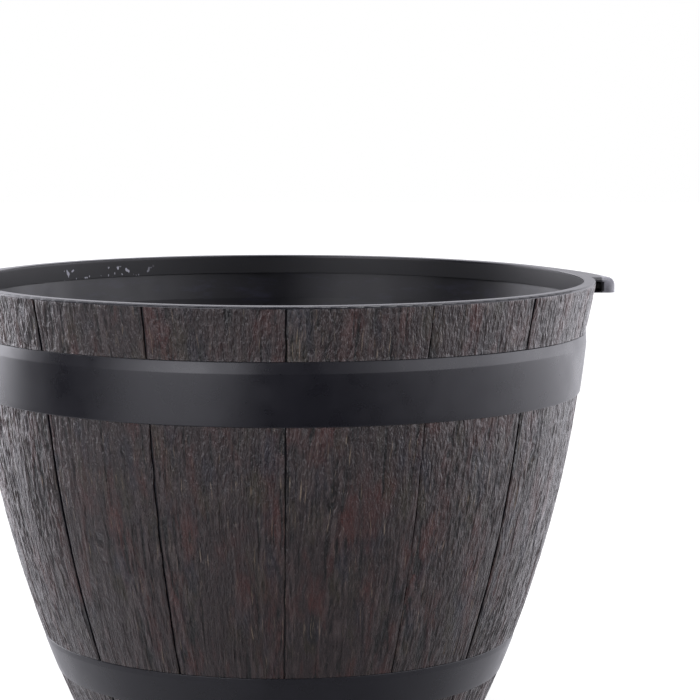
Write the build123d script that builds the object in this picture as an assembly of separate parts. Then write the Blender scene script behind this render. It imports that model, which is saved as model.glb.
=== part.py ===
"""Half-barrel flower pot in dark resin: stave shell, rim ring with two lugs, two hoops, drain plugs.

Millimetres, +Z up, origin on the ground at the centre of the base, lugs on +X and -X, front at -Y.
"""
from build123d import *
from math import cos, radians, sin, sqrt
import os

# Overall size
height = 270.0
rim_r = 190.5
base_r = 120.0

# Barrel wall: a straight flaring band on top, then one long bulging arc down to the base
top_band_h = 28.6
neck_drop_r = 6.0
belly_bulge = 11.1
wall_t = 3.4

# Rim ring: a flat cap with rounded edges, and a skirt that ends in a small step inside the wall
rim_w = 7.0
rim_t = 1.5
rim_overhang = 0.4
rim_edge_r = 1.2
rim_inner_edge_r = 0.8
skirt_depth = 11.7
skirt_step = 2.0

# Floor, foot and drain holes
foot_w = 8.0
floor_lift = 4.0
floor_t = 4.0
floor_corner_r = 8.0
foot_notch_w = 14.0
foot_notch_h = 2.5
drain_count = 4
drain_pitch_r = 72.0
drain_hole_r = 8.0

# Staves: width of each in degrees, from the first joint round to where it started
stave_widths = [23.4, 22.9, 24.1, 25.0, 22.6, 23.8, 24.5, 23.2, 25.1, 24.0, 23.6, 24.8, 23.9, 24.6, 24.5]
first_joint_angle = -159.3
groove_w = 1.6
groove_d = 1.1

# Hoops: distance of the top edge below the rim, height, and how far they stand out
upper_hoop_gap = 1.9
upper_hoop_h = 36.0
upper_hoop_proud = 1.5
upper_hoop_bevel_h = 6.5
lower_hoop_drop = 213.4
lower_hoop_h = 23.0
lower_hoop_proud = 1.0
lower_hoop_bevel_h = 3.5
hoop_seat = 1.0
hoop_edge = 0.8
bevel_foot = 0.4

# Lugs: each grows out of the rim along an arc and ends square, with a pocket in its end
lug_span = 28.0
lug_reach = 14.3
lug_curve = 1.3
lug_drop = 9.4
lug_tip_drop = 3.2
lug_round = 5.0
lug_plate_t = 2.6
lug_sole_t = 1.0
lug_end_round = 4.2
lug_lip_w = 7.6
lug_hollow_span = 15.0
lug_root_depth = 4.0
lug_sections = 6

# Drain plugs
plug_flange_w = 4.0
plug_flange_t = 2.0
plug_tip = 2.0
plug_tip_chamfer = 0.8
plug_knob_r = 4.0
plug_knob_h = 7.0
plug_knob_round = 2.0

# Clearances, and how far a cutter runs past the face that it cuts
press_gap = 0.15
plug_gap = 0.08
cut_margin = 10.0

# Levels and radii that follow from the values above
wall_top_z = height - rim_t
neck_z = height - top_band_h
neck_r = rim_r - neck_drop_r
wall_top_r = rim_r - rim_overhang
floor_top_z = floor_lift + floor_t
upper_hoop_top_z = neck_z - upper_hoop_gap
lower_hoop_top_z = height - lower_hoop_drop
flare = (wall_top_r - neck_r) / (wall_top_z - neck_z)


def belly_circle():
    """Centre (r, z) and radius of the circle that the belly of the barrel follows."""
    chord = sqrt((neck_r - base_r) ** 2 + neck_z ** 2)
    radius = (chord ** 2 / 4 + belly_bulge ** 2) / (2 * belly_bulge)
    middle_r, middle_z = (neck_r + base_r) / 2, neck_z / 2
    inward = radius - belly_bulge
    return middle_r - inward * neck_z / chord, middle_z + inward * (neck_r - base_r) / chord, radius


belly_r, belly_z, belly_radius = belly_circle()


def wall_r(z):
    """Outer radius of the stave wall at height z."""
    if z >= neck_z:
        return neck_r + flare * (z - neck_z)
    return belly_r + sqrt(belly_radius ** 2 - (z - belly_z) ** 2)


def at(r, z):
    """Point of a section drawn in the XZ plane."""
    return (r, 0, z)


def belly_arc(low_z, high_z, offset):
    """Arc that runs beside the belly of the barrel at a level offset from its outer face."""
    middle_z = (low_z + high_z) / 2
    levels = (low_z, middle_z, high_z)
    return ThreePointArc(*[at(wall_r(z) + offset, z) for z in levels])


def spin(edges):
    """Solid of revolution from the edges of a closed section in the XZ plane."""
    return revolve(make_face(edges), axis=Axis.Z)


def joint_angles():
    """Angle of each stave joint, measured from +X towards +Y."""
    total = sum(stave_widths)
    passed = 0.0
    angles = []
    for width in stave_widths:
        angles.append(first_joint_angle + 360.0 * passed / total)
        passed += width
    return angles


def drain_places():
    """Middles of the drain holes, evenly spaced round the floor between the lugs' lines."""
    step = 360.0 / drain_count
    turns = [radians(step * (i + 0.5)) for i in range(drain_count)]
    return [(drain_pitch_r * cos(turn), drain_pitch_r * sin(turn)) for turn in turns]


def hoop_edges(top_z, hoop_h, proud, bevel_h):
    """Section of a hoop: flat inside on its seat, long bevel on top, small round at the bottom."""
    low_z = top_z - hoop_h
    seat = press_gap - hoop_seat
    shoulder_z = top_z - bevel_h
    edge_z = low_z + hoop_edge
    inside = belly_arc(low_z, top_z, seat)
    top = Line(at(wall_r(top_z) + seat, top_z), at(wall_r(top_z) + bevel_foot, top_z))
    bevel = Line(at(wall_r(top_z) + bevel_foot, top_z), at(wall_r(shoulder_z) + proud, shoulder_z))
    face = belly_arc(edge_z, shoulder_z, proud)
    corner = Line(at(wall_r(edge_z) + proud, edge_z), at(wall_r(low_z) + proud - hoop_edge, low_z))
    bottom = Line(at(wall_r(low_z) + proud - hoop_edge, low_z), at(wall_r(low_z) + seat, low_z))
    return inside + top + bevel + face + corner + bottom


def seat_cutter(top_z, hoop_h, proud):
    """Ring of space that a hoop needs in the wall: its own height and depth plus the press gap."""
    low_z = top_z - hoop_h - press_gap
    high_z = top_z + press_gap
    inside = belly_arc(low_z, high_z, -hoop_seat)
    outside = belly_arc(low_z, high_z, proud)
    top = Line(at(wall_r(high_z) - hoop_seat, high_z), at(wall_r(high_z) + proud, high_z))
    bottom = Line(at(wall_r(low_z) - hoop_seat, low_z), at(wall_r(low_z) + proud, low_z))
    return spin(inside + top + outside + bottom)


def groove_cutter():
    """Thin upright blade that follows the outside of the wall from the base to the rim."""
    deep, clear = -groove_d, groove_d
    inside = belly_arc(0, neck_z, deep) + Line(at(neck_r + deep, neck_z), at(wall_top_r + deep, wall_top_z))
    outside = belly_arc(0, neck_z, clear) + Line(at(neck_r + clear, neck_z), at(wall_top_r + clear, wall_top_z))
    top = Line(at(wall_top_r + deep, wall_top_z), at(wall_top_r + clear, wall_top_z))
    bottom = Line(at(base_r + deep, 0), at(base_r + clear, 0))
    return extrude(make_face(inside + top + outside + bottom), amount=groove_w / 2, both=True)


def wall_envelope():
    """Everything inside the outer face of the wall, with the press gap round it."""
    outside = belly_arc(0, neck_z, press_gap) + Line(
        at(neck_r + press_gap, neck_z), at(wall_top_r + press_gap, wall_top_z)
    )
    top = Line(at(wall_top_r + press_gap, wall_top_z), at(0, wall_top_z))
    middle = Line(at(0, wall_top_z), at(0, 0))
    bottom = Line(at(0, 0), at(base_r + press_gap, 0))
    return spin(outside + top + middle + bottom)


def stave_shell():
    """Barrel wall, floor and foot in one moulding, with a groove at each stave joint."""
    foot_in_r = base_r - foot_w
    outline = Line(at(0, floor_lift), at(foot_in_r, floor_lift))
    outline += Line(at(foot_in_r, floor_lift), at(foot_in_r, 0))
    outline += Line(at(foot_in_r, 0), at(base_r, 0))
    outline += belly_arc(0, neck_z, 0)
    outline += Line(at(neck_r, neck_z), at(wall_top_r, wall_top_z))
    outline += Line(at(wall_top_r, wall_top_z), at(wall_top_r - wall_t, wall_top_z))
    outline += Line(at(wall_top_r - wall_t, wall_top_z), at(neck_r - wall_t, neck_z))
    outline += belly_arc(floor_top_z, neck_z, -wall_t)
    outline += Line(at(wall_r(floor_top_z) - wall_t, floor_top_z), at(0, floor_top_z))
    outline += Line(at(0, floor_top_z), at(0, floor_lift))
    shell = spin(outline)

    inner_rings = shell.edges().filter_by(GeomType.CIRCLE).filter_by_position(
        Axis.Z, floor_top_z - press_gap, floor_top_z + press_gap
    )
    shell = fillet(inner_rings.sort_by(SortBy.RADIUS)[-1], floor_corner_r)

    blade = groove_cutter()
    shell -= [Rot(0, 0, angle) * blade for angle in joint_angles()]
    shell -= seat_cutter(upper_hoop_top_z, upper_hoop_h, upper_hoop_proud)
    shell -= seat_cutter(lower_hoop_top_z, lower_hoop_h, lower_hoop_proud)

    notch = Box(foot_w + 2 * cut_margin, foot_notch_w, foot_notch_h)
    notch = Pos(base_r - foot_w / 2, 0, foot_notch_h / 2) * notch
    step = 360.0 / drain_count
    shell -= [Rot(0, 0, step * (i + 0.5)) * notch for i in range(drain_count)]
    hole = Pos(0, 0, floor_lift + floor_t / 2) * Cylinder(drain_hole_r, floor_t + 2 * cut_margin)
    shell -= [Pos(x, y, 0) * hole for x, y in drain_places()]
    return shell


def lug_section(angle):
    """Cross-section of the lug, in the upright plane at this angle from its square front end."""
    left = 1 - angle / lug_span
    outer_r = rim_r + lug_reach * left ** lug_curve
    corner = rim_edge_r + (lug_round - rim_edge_r) * left
    low_z = height - lug_tip_drop - (lug_drop - lug_tip_drop) * left ** (1 / lug_curve)
    root_r = rim_r - lug_root_depth
    quarter = sqrt(0.5)
    bend = at(outer_r - corner * (1 - quarter), height - corner * (1 - quarter))
    edges = Line(at(root_r, low_z), at(root_r, height))
    edges += Line(at(root_r, height), at(outer_r - corner, height))
    edges += ThreePointArc(at(outer_r - corner, height), bend, at(outer_r, height - corner))
    edges += Line(at(outer_r, height - corner), at(outer_r, low_z))
    edges += Line(at(outer_r, low_z), at(root_r, low_z))
    return Rot(0, 0, angle) * make_face(edges)


def lug():
    """Right-hand lug: a tapering ear with a rounded end, and a pocket in it between lip and wall."""
    ear = loft([lug_section(lug_span * i / (lug_sections - 1)) for i in range(lug_sections)])
    front_end = ear.faces().filter_by(GeomType.PLANE).sort_by(Axis.Y)[0]
    ear = fillet(front_end.edges().sort_by(Axis.X)[-1], lug_end_round)
    lip_in_x = rim_r + lug_reach - lug_lip_w
    root_x = wall_top_r - lug_root_depth
    tip = radians(lug_hollow_span)
    pocket_plan = make_face(Polyline(
        (root_x, -cut_margin),
        (lip_in_x, -cut_margin),
        (lip_in_x, 0),
        (wall_top_r * cos(tip), wall_top_r * sin(tip)),
        (root_x, 0),
        close=True,
    ))
    pocket_low_z = height - lug_drop + lug_sole_t
    pocket_h = lug_drop - lug_sole_t - lug_plate_t
    pocket = Pos(0, 0, pocket_low_z) * extrude(pocket_plan, amount=pocket_h)
    return ear - pocket - wall_envelope()


def rim_ring_with_lugs():
    """Ring that caps the wall, its skirt inside the wall, and the two lugs moulded on it."""
    top_in_r = rim_r - rim_w
    skirt_out_r = wall_top_r - wall_t - press_gap
    skirt_low_z = height - skirt_depth
    lean = flare * (wall_top_z - skirt_low_z)
    section = make_face(Polyline(
        at(top_in_r, height),
        at(rim_r, height),
        at(rim_r, wall_top_z),
        at(skirt_out_r, wall_top_z),
        at(skirt_out_r - lean, skirt_low_z),
        at(skirt_out_r - lean + press_gap - skirt_step, skirt_low_z),
        close=True,
    ))
    ring = revolve(section, axis=Axis.Z)
    top_edges = ring.edges().filter_by(GeomType.CIRCLE).group_by(Axis.Z)[-1].sort_by(SortBy.RADIUS)
    ring = fillet(top_edges[-1], rim_edge_r)
    top_edges = ring.edges().filter_by(GeomType.CIRCLE).group_by(Axis.Z)[-1].sort_by(SortBy.RADIUS)
    ring = fillet(top_edges[0], rim_inner_edge_r)
    right = lug()
    return ring + [right, mirror(right, about=Plane.YZ)]


def hoop(top_z, hoop_h, proud, bevel_h):
    """Closed band that sits in its shallow seat round the wall."""
    return spin(hoop_edges(top_z, hoop_h, proud, bevel_h))


def drain_plug():
    """Push-in stopper: stem through the floor, flange on top of it and a knob to pull."""
    stem_r = drain_hole_r - plug_gap
    flange_r = drain_hole_r + plug_flange_w
    stem_low_z = floor_lift - plug_tip
    knob_top_z = floor_top_z + plug_flange_t + plug_knob_h
    section = make_face(Polyline(
        at(0, stem_low_z),
        at(stem_r - plug_tip_chamfer, stem_low_z),
        at(stem_r, stem_low_z + plug_tip_chamfer),
        at(stem_r, floor_top_z),
        at(flange_r, floor_top_z),
        at(flange_r, floor_top_z + plug_flange_t),
        at(plug_knob_r, floor_top_z + plug_flange_t),
        at(plug_knob_r, knob_top_z),
        at(0, knob_top_z),
        close=True,
    ))
    plug = revolve(section, axis=Axis.Z)
    knob_top = plug.edges().filter_by(GeomType.CIRCLE).group_by(Axis.Z)[-1]
    return fillet(knob_top, plug_knob_round)


def main():
    """Write one file for each piece."""
    pieces = {
        "stave_shell": stave_shell(),
        "rim_ring_with_lugs": rim_ring_with_lugs(),
        "upper_hoop": hoop(upper_hoop_top_z, upper_hoop_h, upper_hoop_proud, upper_hoop_bevel_h),
        "lower_hoop": hoop(lower_hoop_top_z, lower_hoop_h, lower_hoop_proud, lower_hoop_bevel_h),
    }
    plug = drain_plug()
    for number, (x, y) in enumerate(drain_places(), start=1):
        pieces[f"drain_plug_{number}"] = Pos(x, y, 0) * plug

    os.makedirs("parts", exist_ok=True)
    for name, piece in pieces.items():
        export_step(piece, f"parts/{name}.step")


main()
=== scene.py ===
"""Looks of the half-barrel flower pot: sprayed wood-grain staves, satin hoops and rim, rubber plugs."""

from math import radians

import bpy
import numpy as np
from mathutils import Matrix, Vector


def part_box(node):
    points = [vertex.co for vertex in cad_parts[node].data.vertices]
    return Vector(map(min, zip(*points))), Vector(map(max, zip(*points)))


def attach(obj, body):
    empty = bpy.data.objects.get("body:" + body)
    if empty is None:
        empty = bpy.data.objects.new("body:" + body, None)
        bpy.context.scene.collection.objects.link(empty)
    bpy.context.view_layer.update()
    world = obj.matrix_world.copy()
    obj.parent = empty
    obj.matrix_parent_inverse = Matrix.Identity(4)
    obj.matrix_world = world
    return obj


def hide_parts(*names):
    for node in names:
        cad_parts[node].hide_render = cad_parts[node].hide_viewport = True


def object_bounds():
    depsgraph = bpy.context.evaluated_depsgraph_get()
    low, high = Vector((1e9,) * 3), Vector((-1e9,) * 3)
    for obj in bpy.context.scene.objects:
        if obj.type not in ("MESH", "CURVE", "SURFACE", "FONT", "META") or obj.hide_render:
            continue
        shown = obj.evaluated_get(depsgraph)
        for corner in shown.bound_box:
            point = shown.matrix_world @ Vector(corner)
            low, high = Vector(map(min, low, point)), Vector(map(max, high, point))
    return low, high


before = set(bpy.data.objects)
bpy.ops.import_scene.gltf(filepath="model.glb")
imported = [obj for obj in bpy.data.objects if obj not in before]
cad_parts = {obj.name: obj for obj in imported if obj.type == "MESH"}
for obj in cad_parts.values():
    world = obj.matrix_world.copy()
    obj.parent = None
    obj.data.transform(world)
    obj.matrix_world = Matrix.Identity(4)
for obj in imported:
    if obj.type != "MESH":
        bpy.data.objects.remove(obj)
cad_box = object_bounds()

MM = 0.001

# The wall's driving sizes, in millimetres
RIM_R = 190.5
BASE_R = 120.0
RIM_T = 1.5
RIM_OVERHANG = 0.4
TOP_BAND_H = 28.6
NECK_DROP_R = 6.0
BELLY_BULGE = 11.1
PRESS_GAP = 0.15

# Hoops: how far the face and the top edge stand out of the wall, the bevel above the face, and the rounds
UPPER_HOOP = {"proud": 1.6, "foot": 0.6, "bevel_h": 6.5, "shoulder": 3.0, "wave_seed": 11}
LOWER_HOOP = {"proud": 1.0, "foot": 0.5, "bevel_h": 3.5, "shoulder": 1.5, "wave_seed": 12}
HOOP_INSET = 0.85
HOOP_EDGE_R = 0.8
HOOP_FOOT_R = 0.5
HOOP_LEVELS = 8
HOOP_STEPS = 720

# Waves in the hoops: height in mm, how many go round, share of it, how fast short ones fade, and their lean
WAVE_MM = 0.042
WAVE_COUNTS = range(3, 40, 4)
WAVE_SIZES = (0.3, 1.0)
WAVE_FADE = 0.1
WAVE_LEAN = 0.09

# Staves: width of each in degrees, the gap at the joint before it in mm, and how long its grain's marks run
STAVES = [
    (23.4, 1.5, 1.1), (22.9, 1.8, 1.9), (24.1, 1.1, 2.0), (25.0, 0.8, 1.8), (22.6, 0.45, 1.0),
    (23.8, 1.6, 0.9), (24.5, 1.3, 1.0), (23.2, 1.0, 1.5), (25.1, 0.7, 1.2), (24.0, 1.4, 1.8),
    (23.6, 1.2, 1.3), (24.8, 0.6, 1.6), (23.9, 1.3, 1.1), (24.6, 1.0, 1.7), (24.5, 0.9, 0.9),
]
FIRST_JOINT_DEG = -159.3
STAVE_SEED = 100

# The skin of a stave: how it sits on the wall, its ragged edges, and how fine its mesh is, in mm
GRAIN_FLOOR = 0.08
GRAIN_DEPTH = 0.6
SKIN_BACK = 0.3
RIM_CLEARANCE = 0.05
EDGE_W = 1.2
RAGGED_MM = 0.6
RAGGED_CELL = (1.0, 8.0)
RAGGED_SIDES = (0, 7)
COLUMN_MM = 0.38
ROW_MM = 0.9
BACK_STEP = 8
BOARD_APART = 97.0

# Moulded wood grain: width and length of each kind of mark in mm
RIDGE = (2.6, 15.0)
STRAND = (1.8, 8.0)
FIBRE = (1.2, 4.4)
PATCH = (16.0, 50.0)
SLIT = (2.3, 24.0)
PIT = (1.1, 7.0)
SWAY = (18.0, 90.0)
SWAY_MM = 3.0
WOBBLE = (3.0, 8.0)
WOBBLE_MM = 1.1

# Share of each in the relief, its middle level and contrast, and how patches weaken or strengthen that
RIDGE_SHARE = 0.2
STRAND_SHARE = 0.32
FIBRE_SHARE = 0.48
BODY_MIDDLE = 0.48
RELIEF_LEVEL = 0.58
RELIEF_CONTRAST = 2.8
PATCH_WEAK = 0.35
PATCH_STRONG = 1.25
PATCH_GAIN = 1.5
PATCH_BASE = -0.05

# Slits and pits: the level of their pattern where they start, how softly they do, and how deep they cut
SLIT_FROM, SLIT_SOFT, SLIT_CUT = 0.82, 0.1, 0.85
PIT_FROM, PIT_SOFT, PIT_CUT = 0.8, 0.12, 0.7

# Knots: how many at most, where on a stave, their size, and how far they push the fibres apart
KNOTS_MOST = 2
KNOT_ACROSS = (10, 65)
KNOT_ALONG = (60, 260)
KNOT_W = 5.0
KNOT_H = 12.0
KNOT_PULL = 0.7

# The random lattice repeats after so many cells, and starts far enough in to have none below zero
LATTICE = 256
LATTICE_START = 64.0

# Rim ring: radius of the skirt's inner face under the cap, and how far out the solid end of a lug begins
SKIRT_R = 185.0
LUG_END_X = 196.0

# Knocks inside the skirt with painted glints: levels below the rim, compass turns (0 to 1), size in mm
KNOCK_GLINT_DROPS = (12.5, 4.5)
KNOCK_GLINT_TURNS = (0.075, 0.145)
KNOCK_GLINT_TURN_SOFT = 0.01
KNOCK_GLINT_MM = (3.2, 3.2, 3.2 / 0.7)

# Camera: focal length, frame and the pot's middle in pixels of the photograph, its place in mm, its tilt
FOCAL_PX = 2521.5
FRAME_PX = 700
MIDDLE_PX = 279.4
SENSOR = 36.0
CAMERA_AWAY = 1524.8
CAMERA_RISE = 124.8
CAMERA_TILT_DEG = 6.33

# Levels and radii that follow from the frame and the values above
HEIGHT = cad_box[1][2] / MM
WALL_TOP_Z = HEIGHT - RIM_T
WALL_TOP_R = RIM_R - RIM_OVERHANG
NECK_Z = HEIGHT - TOP_BAND_H
NECK_R = RIM_R - NECK_DROP_R


def linear(code):
    """Linear colour from an sRGB hex code."""
    parts = [int(code[i:i + 2], 16) / 255 for i in (1, 3, 5)]
    return tuple(c / 12.92 if c <= 0.04045 else ((c + 0.055) / 1.055) ** 2.4 for c in parts) + (1.0,)


def add(tree, kind, inputs=None, **settings):
    """Adds a node, sets its settings, and fills its inputs with values or links."""
    made = tree.nodes.new(kind)
    for key, value in settings.items():
        setattr(made, key, value)
    for key, value in (inputs or {}).items():
        if isinstance(value, bpy.types.NodeSocket):
            tree.links.new(value, made.inputs[key])
        else:
            made.inputs[key].default_value = value
    return made


def new_material(name):
    """Material with an empty node tree."""
    material = bpy.data.materials.new(name)
    material.use_nodes = True
    material.node_tree.nodes.clear()
    return material


def belly_circle():
    """Centre (r, z) and radius of the circle that the belly of the barrel follows, in mm."""
    chord = np.hypot(NECK_R - BASE_R, NECK_Z)
    radius = (chord ** 2 / 4 + BELLY_BULGE ** 2) / (2 * BELLY_BULGE)
    inward = radius - BELLY_BULGE
    middle_r, middle_z = (NECK_R + BASE_R) / 2, NECK_Z / 2
    return middle_r - inward * NECK_Z / chord, middle_z + inward * (NECK_R - BASE_R) / chord, radius


BELLY_R, BELLY_Z, BELLY_RADIUS = belly_circle()


def wall_r(z):
    """Outer radius of the stave wall at height z, in mm. z is a number or an array."""
    flare = (WALL_TOP_R - NECK_R) / (WALL_TOP_Z - NECK_Z)
    below = np.minimum(z, NECK_Z)
    belly = BELLY_R + np.sqrt(BELLY_RADIUS ** 2 - (below - BELLY_Z) ** 2)
    return np.where(z >= NECK_Z, NECK_R + flare * (z - NECK_Z), belly)


def mesh_object(name, points_mm, faces, smooth_deg):
    """Mesh object from points in mm, shaded smooth except where faces meet at a sharper angle."""
    mesh = bpy.data.meshes.new(name)
    mesh.from_pydata((np.asarray(points_mm) * MM).tolist(), [], faces)
    mesh.polygons.foreach_set("use_smooth", [True] * len(mesh.polygons))
    mesh.set_sharp_from_angle(angle=radians(smooth_deg))
    mesh.update()
    obj = bpy.data.objects.new(name, mesh)
    bpy.context.scene.collection.objects.link(obj)
    return obj


class Grain:
    """Wood grain of one stave: smooth random values on lattices stretched along the stave."""

    def __init__(self, seed, run):
        self.dice = np.random.default_rng(seed)
        self.run = run

    def lattice(self, u, v, cell):
        """Random values from 0 to 1 on a lattice with cells of that width and length, smooth between them."""
        table = self.dice.random((LATTICE, LATTICE))
        gu, gv = u / cell[0] + LATTICE_START, v / cell[1] + LATTICE_START
        iu, iv = np.floor(gu).astype(int), np.floor(gv).astype(int)
        fu, fv = gu - iu, gv - iv
        fu, fv = fu * fu * (3 - 2 * fu), fv * fv * (3 - 2 * fv)
        column, next_column = iu % LATTICE, (iu + 1) % LATTICE
        row, next_row = iv % LATTICE, (iv + 1) % LATTICE
        low = table[column, row] * (1 - fu) + table[next_column, row] * fu
        high = table[column, next_row] * (1 - fu) + table[next_column, next_row] * fu
        return low * (1 - fv) + high * fv

    def flow(self, u, v):
        """Place across the stave that the fibres at (u, v) come from: they sway, and part round its knots."""
        bent = u + SWAY_MM * (self.lattice(u, v, SWAY) - 0.5)
        bent = bent + WOBBLE_MM * (self.lattice(u, v, WOBBLE) - 0.5)
        for _ in range(self.dice.integers(0, KNOTS_MOST + 1)):
            knot_u, knot_v = self.dice.uniform(*KNOT_ACROSS), self.dice.uniform(*KNOT_ALONG)
            du, dv = u - knot_u, v - knot_v
            near = np.exp(-(du / KNOT_W) ** 2 - (dv / KNOT_H) ** 2)
            bent = bent - KNOT_PULL * du * near
        return bent

    def height(self, bent, v):
        """Height of the grain, from 0 in a pore to 1 on a ridge."""
        v = v / self.run
        ridge = 1 - np.abs(2 * self.lattice(bent, v, RIDGE) - 1)
        strand = self.lattice(bent, v, STRAND)
        fibre = self.lattice(bent, v, FIBRE)
        patch = PATCH_BASE + PATCH_GAIN * self.lattice(bent, v, PATCH)
        slit = np.clip((self.lattice(bent, v, SLIT) - SLIT_FROM) / SLIT_SOFT, 0, 1)
        pit = np.clip((self.lattice(bent, v, PIT) - PIT_FROM) / PIT_SOFT, 0, 1)
        body = RIDGE_SHARE * ridge + STRAND_SHARE * strand + FIBRE_SHARE * fibre - BODY_MIDDLE
        level = RELIEF_LEVEL + body * RELIEF_CONTRAST * np.clip(patch, PATCH_WEAK, PATCH_STRONG)
        return np.clip(level * (1 - SLIT_CUT * slit) * (1 - PIT_CUT * pit), 0, 1)


def stretches():
    """Low and high level of each stretch of stave that shows, in mm: below, between and above the hoops."""
    (_, _, lower_low), (_, _, lower_high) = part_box("lower_hoop")
    (_, _, upper_low), (_, _, upper_high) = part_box("upper_hoop")
    return [
        (GRAIN_FLOOR, lower_low / MM - PRESS_GAP),
        (lower_high / MM + PRESS_GAP, upper_low / MM - PRESS_GAP),
        (upper_high / MM + PRESS_GAP, WALL_TOP_Z),
    ]


def steps(length, pitch):
    """Number of grid points for a length at about that pitch, so that the coarse back fits the fine front."""
    return max(1, round(length / pitch / BACK_STEP)) * BACK_STEP + 1


def grid_faces(corners):
    """Four-cornered faces, from the four arrays of points at their corners."""
    return np.stack(corners, -1).reshape(-1, 4).tolist()


def slab_faces(rows, columns, first):
    """Faces of a closed slab: a fine grid of front points, and a coarse grid of back points behind it."""
    front = first + np.arange(rows * columns).reshape(rows, columns)
    back_rows, back_columns = (rows - 1) // BACK_STEP + 1, (columns - 1) // BACK_STEP + 1
    back = front[-1, -1] + 1 + np.arange(back_rows * back_columns).reshape(back_rows, back_columns)
    faces = grid_faces([front[:-1, :-1], front[:-1, 1:], front[1:, 1:], front[1:, :-1]])
    faces += grid_faces([back[:-1, :-1], back[1:, :-1], back[1:, 1:], back[:-1, 1:]])
    sides = [(front[0], back[0]), (front[:, -1], back[:, -1])]
    sides += [(front[-1, ::-1], back[-1, ::-1]), (front[::-1, 0], back[::-1, 0])]
    for fine, coarse in sides:
        for i in range(len(coarse) - 1):
            edge = fine[i * BACK_STEP:(i + 1) * BACK_STEP + 1][::-1].tolist()
            faces.append(edge + [int(coarse[i]), int(coarse[i + 1])])
    return faces


def stave_skin(number, start_deg, width_deg, gap_before, gap_after, run):
    """Raised wood-grain face of one stave, in three stretches between the hoops."""
    grain = Grain(STAVE_SEED + number, run)
    columns = steps(radians(width_deg) * NECK_R, COLUMN_MM)
    bands = [np.linspace(low, high, steps(high - low, ROW_MM)) for low, high in stretches()]
    z = np.concatenate(bands)[:, None]
    wall = wall_r(z)
    across = np.linspace(0, 1, columns)[None, :]
    ragged = [RAGGED_MM * (grain.lattice(0 * z + side, z, RAGGED_CELL) - 0.5) for side in RAGGED_SIDES]
    left = radians(start_deg) + (gap_before / 2 + ragged[0]) / wall
    right = radians(start_deg + width_deg) - (gap_after / 2 + ragged[1]) / wall
    angle = left + (right - left) * across
    u = (angle - radians(start_deg)) * NECK_R
    v = np.broadcast_to(z, u.shape)
    bent = grain.flow(u, v)
    height = grain.height(bent, v)
    from_edge = np.minimum(across, 1 - across) * (right - left) * wall
    edge = np.clip(1 - from_edge / EDGE_W, 0, 1) ** 2
    front = wall + (GRAIN_FLOOR + GRAIN_DEPTH * height) * (1 - edge)
    front = np.minimum(front, RIM_R - RIM_CLEARANCE)
    back = np.broadcast_to(wall - SKIN_BACK, u.shape)

    points, faces, relief, board = [], [], [], []
    first = row = 0
    for band in bands:
        rows = slice(row, row + len(band))
        row += len(band)
        for radius, step in ((front, 1), (back, BACK_STEP)):
            part = [a[rows][::step, ::step] for a in (radius, angle, v, height, bent)]
            r, turn, level, tall, flow = [values.reshape(-1) for values in part]
            points.append(np.stack([r * np.cos(turn), r * np.sin(turn), level], -1))
            relief.append(tall)
            board.append(np.stack([flow, level, np.full(r.shape, BOARD_APART * number)], -1))
        faces += slab_faces(len(band), columns, first)
        first = sum(len(p) for p in points)
    skin = mesh_object(f"stave_{number:02d}_grain", np.concatenate(points), faces, smooth_deg=60.0)
    made = skin.data.attributes.new("grain", "FLOAT", "POINT")
    made.data.foreach_set("value", np.concatenate(relief).astype(np.float32))
    made = skin.data.attributes.new("board", "FLOAT_VECTOR", "POINT")
    made.data.foreach_set("vector", np.concatenate(board).astype(np.float32).ravel())
    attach(skin, "pot")
    return skin


def rounded(corners, arc_steps=5):
    """Closed outline through corners (r, z, round radius), with an arc at each corner that has a radius."""
    outline = []
    count = len(corners)
    for i, (r, z, radius) in enumerate(corners):
        here = np.array([r, z])
        if radius == 0:
            outline.append(here)
            continue
        before = np.array(corners[i - 1][:2]) - here
        after = np.array(corners[(i + 1) % count][:2]) - here
        before, after = before / np.linalg.norm(before), after / np.linalg.norm(after)
        half = np.arccos(np.clip(before @ after, -1, 1)) / 2
        middle = here + (before + after) / np.linalg.norm(before + after) * radius / np.sin(half)
        touch_in = here + before * radius / np.tan(half)
        touch_out = here + after * radius / np.tan(half)
        for t in np.linspace(0, 1, arc_steps + 1):
            spoke = (touch_in - middle) * (1 - t) + (touch_out - middle) * t
            outline.append(middle + spoke / np.linalg.norm(spoke) * radius)
    return outline


def hoop_outline(low, high, sizes):
    """Section of a hoop: its face, a shoulder, the bevel above it, and the inside that follows the wall."""
    def at(z, out, radius=0.0):
        return float(wall_r(z)) + out, z, radius

    shoulder = high - sizes["bevel_h"]
    corners = [at(low, sizes["proud"], HOOP_EDGE_R)]
    corners += [at(z, sizes["proud"]) for z in np.linspace(low, shoulder, HOOP_LEVELS)[1:-1]]
    corners += [at(shoulder, sizes["proud"], sizes["shoulder"]), at(high, sizes["foot"], HOOP_FOOT_R)]
    corners += [at(z, -HOOP_INSET) for z in np.linspace(high, low, HOOP_LEVELS)]
    return np.array(rounded(corners))


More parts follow.
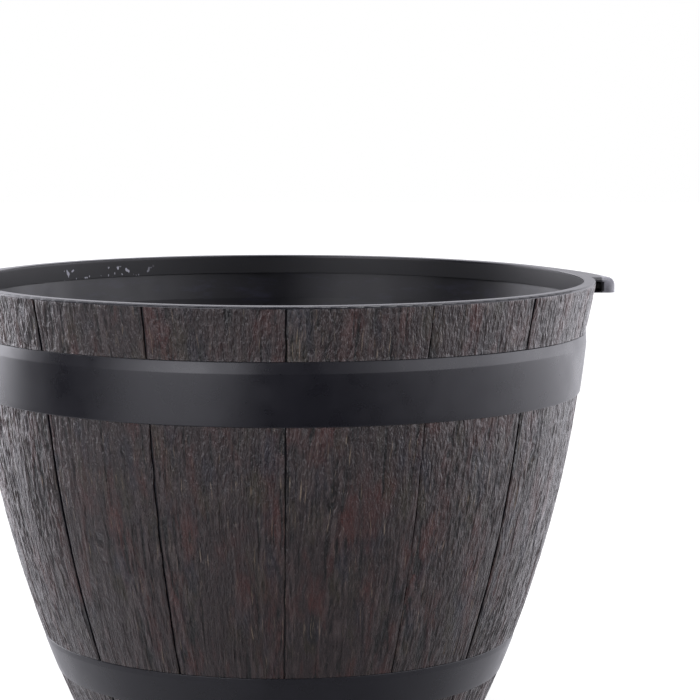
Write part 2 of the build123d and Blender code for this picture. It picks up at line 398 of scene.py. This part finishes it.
def hoop(name, sizes):
    """Moulded hoop with rounded edges and the slight waves of a large thin moulding."""
    (_, _, low), (_, _, high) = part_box(name)
    low, high = low / MM, high / MM
    outline = hoop_outline(low, high, sizes)
    turn = np.linspace(0, 2 * np.pi, HOOP_STEPS, endpoint=False)[:, None]
    radius, level = outline[None, :, 0], outline[None, :, 1]
    dice = np.random.default_rng(sizes["wave_seed"])
    wave = 0.0
    for count in WAVE_COUNTS:
        size, phase = dice.uniform(*WAVE_SIZES), dice.uniform(0, 2 * np.pi)
        lean = dice.uniform(-WAVE_LEAN, WAVE_LEAN)
        wave = wave + size / (1 + WAVE_FADE * count) * np.sin(count * turn + phase + (level - low) * lean)
    outer = radius > wall_r(level) - HOOP_INSET / 2
    radius = radius + np.where(outer, WAVE_MM * wave, 0.0)
    level = np.broadcast_to(level, radius.shape)
    points = np.stack([radius * np.cos(turn), radius * np.sin(turn), level], -1).reshape(-1, 3)
    index = np.arange(len(points)).reshape(radius.shape)
    turned = np.roll(index, -1, 0)
    faces = grid_faces([index, turned, np.roll(turned, -1, 1), np.roll(index, -1, 1)])
    band = mesh_object(f"{name}_band", points, faces, smooth_deg=40.0)
    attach(band, "pot")
    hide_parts(name)
    return band


# In the materials below, a Map Range's sockets are 0 the value, 1 and 2 its range, 3 and 4 the range it gives


def marks(tree, place, size, detail=2.0, roughness=0.5):
    """Random pattern whose marks have that size along each axis, in the unit of the coordinates."""
    shares = tuple(1 / side for side in size)
    shrunk = add(tree, "ShaderNodeVectorMath", {0: place, 1: shares}, operation="MULTIPLY")
    return add(tree, "ShaderNodeTexNoise", {
        "Vector": shrunk.outputs[0], "Scale": 1.0, "Detail": detail, "Roughness": roughness,
    }).outputs["Fac"]


def lay(tree, under, colour, pattern, low, high, share=1.0, where=None):
    """Lays a colour over another: none at the pattern's low value, and its share of it at the high value."""
    amount = add(tree, "ShaderNodeMapRange", {0: pattern, 1: low, 2: high, 3: 0.0, 4: share}).outputs[0]
    if where is not None:
        amount = add(tree, "ShaderNodeMath", {0: amount, 1: where}, operation="MULTIPLY").outputs[0]
    return add(tree, "ShaderNodeMix", {0: amount, 6: under, 7: linear(colour)}, data_type="RGBA").outputs[2]


def within(tree, value, low, high, soft):
    """1 where the value is between low and high, with soft margins inside them, and 0 elsewhere."""
    rise = add(tree, "ShaderNodeMapRange", {0: value, 1: low, 2: low + soft}).outputs[0]
    fall = add(tree, "ShaderNodeMapRange", {0: value, 1: high, 2: high - soft}).outputs[0]
    return add(tree, "ShaderNodeMath", {0: rise, 1: fall}, operation="MULTIPLY").outputs[0]


def compass(tree, place):
    """Turn of a place round the pot's axis, from 0 to 1 with the front at 0.5, and its height."""
    axes = add(tree, "ShaderNodeSeparateXYZ", {0: place})
    front = add(tree, "ShaderNodeMath", {0: axes.outputs["Y"], 1: -1.0}, operation="MULTIPLY")
    angle = add(tree, "ShaderNodeMath", {0: axes.outputs["X"], 1: front.outputs[0]}, operation="ARCTAN2")
    turn = add(tree, "ShaderNodeMapRange", {0: angle.outputs[0], 1: -np.pi, 2: np.pi})
    return turn.outputs[0], axes.outputs["Z"]


# Spray coats that overlap unevenly, warm, olive and cool, in drifts as long and narrow as the fibres: the size
# of the drifts in mm across and along a stave, their colour, the level where they start, and their share
DRIFTS = [
    ((20.0, 60.0, 1.0), "#42201c", 0.5, 0.8),
    ((17.0, 45.0, 1.0), "#2e291b", 0.53, 0.7),
    ((19.0, 50.0, 1.0), "#1f202a", 0.54, 0.75),
]
DRIFT_SOFT = 0.14

# Other marks on a stave, in mm across and along it. The third number only tells one stave from the next
WORN_PATCH = (22.0, 48.0, 1.0)
FIBRE_MARK = (1.3, 5.0, 1.0)
SCUFF_MARK = (1.3, 20.0, 1.0)
TOOTH_MARK = (1.1, 4.0, 1.0)
TOOTH_MM = 1.2


def sprayed_grain_resin():
    """Polypropylene moulded with wood grain, sprayed brown: black in pores, painted highlight on ridges."""
    material = new_material("sprayed_wood_grain_resin")
    tree = material.node_tree
    board = add(tree, "ShaderNodeAttribute", attribute_name="board").outputs["Vector"]
    grain = add(tree, "ShaderNodeAttribute", attribute_name="grain").outputs["Fac"]

    colour = linear("#292020")
    for size, coat, low, most in DRIFTS:
        drift = marks(tree, board, size, detail=3.0, roughness=0.6)
        colour = lay(tree, colour, coat, drift, low, low + DRIFT_SOFT, most)

    # Fibres 1.3 mm wide and about 5 mm long, and pale scuffs among them, in patches with duller resin between
    patches = marks(tree, board, WORN_PATCH)
    worn = add(tree, "ShaderNodeMapRange", {0: patches, 1: 0.4, 2: 0.6, 3: 0.3, 4: 1.0}).outputs[0]
    fibres = marks(tree, board, FIBRE_MARK, roughness=0.6)
    scuffs = marks(tree, board, SCUFF_MARK)
    colour = lay(tree, colour, "#0b0a0a", grain, 0.4, 0.05)
    colour = lay(tree, colour, "#0e0b0b", fibres, 0.5, 0.32, 0.75, worn)
    colour = lay(tree, colour, "#5c504d", fibres, 0.56, 0.72, 0.45, worn)
    colour = lay(tree, colour, "#93836f", scuffs, 0.64, 0.76, 0.8, worn)
    # Painted highlight: a paler grey-brown laid on the tops of the ridges
    colour = lay(tree, colour, "#564a48", grain, 0.7, 1.0, 0.3)

    # The spray leaves a thin clear skin that shines only at a slant
    rough = add(tree, "ShaderNodeMapRange", {0: fibres, 1: 0.3, 2: 0.7, 3: 0.46, 4: 0.3}).outputs[0]
    tooth = marks(tree, board, TOOTH_MARK)
    bump = add(tree, "ShaderNodeBump", {"Height": tooth, "Strength": 1.0, "Distance": TOOTH_MM * MM})
    shader = add(tree, "ShaderNodeBsdfPrincipled", {
        "Base Color": colour, "Roughness": rough, "IOR": 1.35, "Normal": bump.outputs[0],
        "Coat Weight": 1.0, "Coat Roughness": 0.3, "Coat IOR": 1.35, "Coat Normal": bump.outputs[0],
    })
    add(tree, "ShaderNodeOutputMaterial", {"Surface": shader.outputs[0]})
    return material


def satin_charcoal(tree, place):
    """Colour and roughness of satin charcoal black, with a faint flow mottle from the mould in both."""
    mottle = marks(tree, place, (14 * MM, 14 * MM, 14 * MM), detail=3.0)
    rough = add(tree, "ShaderNodeMapRange", {0: mottle, 1: 0.3, 2: 0.7, 3: 0.25, 4: 0.34}).outputs[0]
    return lay(tree, linear("#131319"), "#1a1a21", mottle, 0.0, 1.0), rough


def rim_resin():
    """Rim ring's resin: satin on the cap, dull and darker inside the skirt, painted highlight on the lug ends.
    """
    material = new_material("satin_rim_resin")
    tree = material.node_tree
    place = add(tree, "ShaderNodeTexCoord").outputs["Object"]
    turn, level = compass(tree, place)
    colour, satin = satin_charcoal(tree, place)

    # Inside the skirt, as it comes off the core of the mould
    flat = add(tree, "ShaderNodeVectorMath", {0: place, 1: (1, 1, 0)}, operation="MULTIPLY").outputs[0]
    radius = add(tree, "ShaderNodeVectorMath", {0: flat}, operation="LENGTH").outputs["Value"]
    below = add(tree, "ShaderNodeMapRange", {0: level, 1: (HEIGHT - 1) * MM, 2: (HEIGHT - 2) * MM}).outputs[0]
    inward = add(tree, "ShaderNodeMapRange", {0: radius, 1: (SKIRT_R + 0.6) * MM, 2: SKIRT_R * MM}).outputs[0]
    inner = add(tree, "ShaderNodeMath", {0: inward, 1: below}, operation="MULTIPLY").outputs[0]
    colour = lay(tree, colour, "#0a0a0f", inner, 0.0, 1.0)

    # Ends of the lugs: a painted highlight, pale grey broken up by a mottle
    axes = add(tree, "ShaderNodeSeparateXYZ", {0: place})
    side = add(tree, "ShaderNodeMath", {0: axes.outputs["X"]}, operation="ABSOLUTE").outputs[0]
    lug_highlight_mottle = marks(tree, place, (3 * MM, 3 * MM, 3 * MM), detail=4.0, roughness=0.7)
    lug_highlight_share = add(tree, "ShaderNodeMapRange", {0: lug_highlight_mottle, 1: 0.3, 2: 0.7, 3: 0.5, 4: 1.0}).outputs[0]
    end_from, end_to = (LUG_END_X - 0.5) * MM, (LUG_END_X + 0.5) * MM
    colour = lay(tree, colour, "#94949a", side, end_from, end_to, where=lug_highlight_share)

    # Small knocks at the back left, inside the skirt, made bright as painted glints
    low, high = [(HEIGHT - drop) * MM for drop in KNOCK_GLINT_DROPS]
    across = within(tree, turn, *KNOCK_GLINT_TURNS, KNOCK_GLINT_TURN_SOFT)
    along = within(tree, level, low, high, MM)
    there = add(tree, "ShaderNodeMath", {0: across, 1: along}, operation="MULTIPLY").outputs[0]
    knocks_and_glints = marks(tree, place, [side_mm * MM for side_mm in KNOCK_GLINT_MM], detail=1.0)
    colour = lay(tree, colour, "#b4b4be", knocks_and_glints, 0.63, 0.66, 0.9, there)

    # Satin to 0.34 on the cap and one more inside, brought to a roughness from 0.25 to 0.5
    duller = add(tree, "ShaderNodeMath", {0: satin, 1: inner}, operation="ADD").outputs[0]
    rough = add(tree, "ShaderNodeMapRange", {0: duller, 1: 0.25, 2: 1.34, 3: 0.25, 4: 0.5}).outputs[0]
    shader = add(tree, "ShaderNodeBsdfPrincipled", {"Base Color": colour, "Roughness": rough, "IOR": 1.49})
    add(tree, "ShaderNodeOutputMaterial", {"Surface": shader.outputs[0]})
    return material


def satin_black_resin():
    """Smooth moulded polypropylene of the hoops: satin, with the mould's faint skin."""
    material = new_material("satin_black_resin")
    tree = material.node_tree
    place = add(tree, "ShaderNodeTexCoord").outputs["Object"]
    colour, rough = satin_charcoal(tree, place)
    skin = marks(tree, place, (1.5 * MM, 1.5 * MM, 1.5 * MM))
    bump = add(tree, "ShaderNodeBump", {"Height": skin, "Strength": 0.08, "Distance": 0.05 * MM})
    shader = add(tree, "ShaderNodeBsdfPrincipled", {
        "Base Color": colour, "Roughness": rough, "IOR": 1.49, "Normal": bump.outputs[0],
    })
    add(tree, "ShaderNodeOutputMaterial", {"Surface": shader.outputs[0]})
    return material


def core_side_resin():
    """The shell's resin as it comes off the core of the mould: duller and bluish, with faint streaks."""
    material = new_material("core_side_resin")
    tree = material.node_tree
    place = add(tree, "ShaderNodeTexCoord").outputs["Object"]
    mottle = marks(tree, place, (25 * MM, 25 * MM, 25 * MM), detail=4.0)
    streaks = marks(tree, place, (22 * MM, 22 * MM, 5.5 * MM), detail=4.0, roughness=0.7)
    colour = lay(tree, linear("#0b0b10"), "#111118", mottle, 0.0, 1.0)
    colour = lay(tree, colour, "#2c2c40", streaks, 0.52, 0.72, 0.4)
    rough = add(tree, "ShaderNodeMapRange", {0: mottle, 1: 0.3, 2: 0.7, 3: 0.28, 4: 0.38}).outputs[0]
    shader = add(tree, "ShaderNodeBsdfPrincipled", {"Base Color": colour, "Roughness": rough, "IOR": 1.49})
    add(tree, "ShaderNodeOutputMaterial", {"Surface": shader.outputs[0]})
    return material


def plug_rubber():
    """Moulded EPDM rubber: dull black."""
    material = new_material("moulded_rubber")
    tree = material.node_tree
    place = add(tree, "ShaderNodeTexCoord").outputs["Object"]
    bloom = marks(tree, place, (4 * MM, 4 * MM, 4 * MM), detail=3.0)
    colour = lay(tree, linear("#1a1a1b"), "#262627", bloom, 0.0, 1.0)
    shader = add(tree, "ShaderNodeBsdfPrincipled", {"Base Color": colour, "Roughness": 0.75, "IOR": 1.52})
    add(tree, "ShaderNodeOutputMaterial", {"Surface": shader.outputs[0]})
    return material


def use_material(obj, material):
    """Gives the whole object one material."""
    obj.data.materials.clear()
    obj.data.materials.append(material)


def dress_staves():
    """Raised grain on every stave."""
    material = sprayed_grain_resin()
    start = FIRST_JOINT_DEG
    for number, (width_deg, gap, run) in enumerate(STAVES, start=1):
        next_gap = STAVES[number % len(STAVES)][1]
        use_material(stave_skin(number, start, width_deg, gap, next_gap, run), material)
        start += width_deg


def dress_cad():
    """Hoops with their waves, and the materials of the CAD pieces that stay."""
    satin = satin_black_resin()
    use_material(hoop("upper_hoop", UPPER_HOOP), satin)
    use_material(hoop("lower_hoop", LOWER_HOOP), satin)
    use_material(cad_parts["rim_ring_with_lugs"], rim_resin())
    use_material(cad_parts["stave_shell"], core_side_resin())
    rubber = plug_rubber()
    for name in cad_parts:
        if name.startswith("drain_plug"):
            use_material(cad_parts[name], rubber)


def camera():
    """Camera at the photograph's place: 1.53 m away, a little above the rim, looking slightly down."""
    data = bpy.data.cameras.new("camera")
    data.sensor_width = SENSOR
    data.lens = SENSOR * FOCAL_PX / FRAME_PX
    data.shift_x = (FRAME_PX / 2 - MIDDLE_PX) / FRAME_PX
    data.clip_start = 0.05
    seen = bpy.data.objects.new("camera", data)
    seen.location = (0.0, -CAMERA_AWAY * MM, (HEIGHT + CAMERA_RISE) * MM)
    seen.rotation_euler = (radians(90 - CAMERA_TILT_DEG), 0, 0)
    bpy.context.scene.collection.objects.link(seen)
    bpy.context.scene.camera = seen


# Brightness of the studio by compass direction, in degrees from the front (-Y) towards +X
LOW_WALLS = [
    (-180, 0.7), (-165, 1.2), (-145, 3.3), (-116, 4.7), (-98, 0.3), (-68, 0.1), (-56, 2.3), (-32, 4.2),
    (-18, 3.1), (-6, 0.0), (10, 0.1), (30, 0.8), (52, 2.2), (75, 2.5), (95, 3.5), (120, 2.7), (150, 1.3),
    (180, 0.7),
]
MID_WALLS = [
    (-180, 1.3), (-150, 2.7), (-120, 2.0), (-90, 0.4), (-60, 0.07), (-30, 0.15), (0, 0.0), (30, 0.35),
    (60, 1.4), (90, 0.5), (120, 0.1), (150, 1.0), (180, 1.3),
]
HIGH_WALLS = [
    (-180, 1.8), (-150, 2.4), (-120, 2.4), (-90, 2.1), (-60, 1.7), (-30, 1.1), (0, 0.7), (30, 0.65),
    (60, 0.9), (90, 1.05), (120, 1.3), (150, 1.55), (180, 1.8),
]
TABLE = [
    (-180, 1.2), (-150, 1.3), (-118, 1.4), (-98, 0.4), (-76, 0.03), (-62, 0.4), (-50, 1.2), (-26, 1.25),
    (-14, 0.5), (-5, 0.03), (20, 0.05), (38, 0.25), (66, 0.72), (98, 1.25), (120, 1.2), (150, 1.15),
    (180, 1.1),
]
NEAR_TABLE = [
    (-180, 0.9), (-130, 1.0), (-75, 0.8), (-45, 0.6), (-20, 0.5), (0, 0.3), (25, 0.3), (50, 0.45),
    (75, 0.7), (130, 1.0), (180, 0.9),
]
PEAK = 5.0
STUDIO_TINT = (0.985, 0.975, 1.05)

# Angles of climb between which one ring of wall gives way to the next
LOW_WALL_TOP = radians(12)
MID_WALL_FOOT = radians(18)
MID_WALL_TOP = radians(36)
HIGH_WALL_FOOT = radians(44)

# Distances on the table, in metres, between which one ring gives way to the next, and the far ring's share
NEAR_EDGE = 0.3
NEAR_END = 0.45
TABLE_EDGE = 1.1
TABLE_END = 1.5
FAR_SHARE = 0.85
TABLE_HALF = 6.0

# The table's grey under the pot's own light, and what makes it white to the camera but for the pot's shadow
TABLE_GREY = (0.5, 0.5, 0.5, 1.0)
SHADOW_GREY = (0.3, 0.3, 0.3, 1.0)
CAMERA_GLOW = 0.82
WHITE = (1.0, 1.0, 1.0, 1.0)

# The lamp above the pot: its size and place in metres, and its power
STRIP_SIZE = (1.4, 0.16)
STRIP_PLACE = (0.0, -0.1, 1.7)
STRIP_WATTS = 6.0


def ring(tree, turn, levels):
    """Brightness round the room as a share of the peak."""
    ramp = add(tree, "ShaderNodeValToRGB", {0: turn})
    ramp.color_ramp.interpolation = "EASE"
    stops = ramp.color_ramp.elements
    while len(stops) < len(levels):
        stops.new(0.5)
    for stop, (degrees, level) in zip(stops, levels):
        stop.position = (degrees + 180) / 360
        stop.color = tuple(level / PEAK * tint for tint in STUDIO_TINT) + (1.0,)
    return ramp.outputs[0]


def rings(tree, turn, measure, first, others):
    """Rings of brightness that give way to each other as a measure grows."""
    shine = ring(tree, turn, first)
    for levels, edge, end, share in others:
        beyond = add(tree, "ShaderNodeMapRange", {0: measure, 1: edge, 2: end, 3: 0.0, 4: share}).outputs[0]
        following = ring(tree, turn, levels)
        shine = add(tree, "ShaderNodeMix", {0: beyond, 6: shine, 7: following}, data_type="RGBA").outputs[2]
    return shine


def pale_table():
    """Matt pale table: white to the camera but for the pot's shadow, unevenly bright in the pot's gloss."""
    material = new_material("pale_table")
    material.cycles.emission_sampling = "NONE"
    tree = material.node_tree
    path = add(tree, "ShaderNodeLightPath").outputs
    place = add(tree, "ShaderNodeTexCoord").outputs["Object"]
    turn, _ = compass(tree, place)
    away = add(tree, "ShaderNodeVectorMath", {0: place}, operation="LENGTH").outputs["Value"]
    shine = rings(tree, turn, away, NEAR_TABLE, [
        (TABLE, NEAR_EDGE, NEAR_END, 1.0), (LOW_WALLS, TABLE_EDGE, TABLE_END, FAR_SHARE),
    ])
    glossy = add(tree, "ShaderNodeEmission", {"Color": shine, "Strength": PEAK}).outputs[0]
    grey = add(tree, "ShaderNodeBsdfDiffuse", {"Color": TABLE_GREY}).outputs[0]
    glow = add(tree, "ShaderNodeEmission", {"Color": WHITE, "Strength": CAMERA_GLOW}).outputs[0]
    shaded = add(tree, "ShaderNodeBsdfDiffuse", {"Color": SHADOW_GREY}).outputs[0]
    white = add(tree, "ShaderNodeAddShader", {0: glow, 1: shaded}).outputs[0]
    seen = add(tree, "ShaderNodeMixShader", {0: path["Is Camera Ray"], 1: grey, 2: white}).outputs[0]
    final = add(tree, "ShaderNodeMixShader", {0: path["Is Glossy Ray"], 1: seen, 2: glossy})
    add(tree, "ShaderNodeOutputMaterial", {"Surface": final.outputs[0]})
    return material


def floor():
    """Large table under the pot."""
    half = TABLE_HALF
    edge_points = [(-half, -half, 0), (half, -half, 0), (half, half, 0), (-half, half, 0)]
    mesh = bpy.data.meshes.new("floor")
    mesh.from_pydata(edge_points, [], [(0, 1, 2, 3)])
    plane = bpy.data.objects.new("floor", mesh)
    bpy.context.scene.collection.objects.link(plane)
    plane.data.materials.append(pale_table())


def overhead_strip():
    """Narrow soft light above the pot, for the bright line on the rim's rounded edge."""
    data = bpy.data.lights.new("overhead_strip", "AREA")
    data.shape = "RECTANGLE"
    data.size, data.size_y = STRIP_SIZE
    data.energy = STRIP_WATTS
    lamp = bpy.data.objects.new("overhead_strip", data)
    lamp.location = STRIP_PLACE
    bpy.context.scene.collection.objects.link(lamp)


def studio():
    """Softly lit room: bright at both sides and behind, dark in front, and white where the camera sees it."""
    world = bpy.data.worlds.new("studio")
    bpy.context.scene.world = world
    world.use_nodes = True
    tree = world.node_tree
    tree.nodes.clear()
    turn, rise = compass(tree, add(tree, "ShaderNodeTexCoord").outputs["Generated"])
    climb = add(tree, "ShaderNodeMath", {0: rise}, operation="ARCSINE").outputs[0]
    walls = rings(tree, turn, climb, LOW_WALLS, [
        (MID_WALLS, LOW_WALL_TOP, MID_WALL_FOOT, 1.0), (HIGH_WALLS, MID_WALL_TOP, HIGH_WALL_FOOT, 1.0),
    ])
    room = add(tree, "ShaderNodeBackground", {"Color": walls, "Strength": PEAK}).outputs[0]
    white = add(tree, "ShaderNodeBackground", {"Color": WHITE, "Strength": 1.0}).outputs[0]
    is_camera = add(tree, "ShaderNodeLightPath").outputs["Is Camera Ray"]
    both = add(tree, "ShaderNodeMixShader", {0: is_camera, 1: room, 2: white})
    add(tree, "ShaderNodeOutputWorld", {"Surface": both.outputs[0]})
    bpy.context.scene.view_settings.view_transform = "Standard"


def corners(box):
    """Two corners of a box as plain lists of numbers."""
    return [[round(value, 6) for value in corner] for corner in box]


dress_staves()
dress_cad()
camera()
floor()
overhead_strip()
studio()
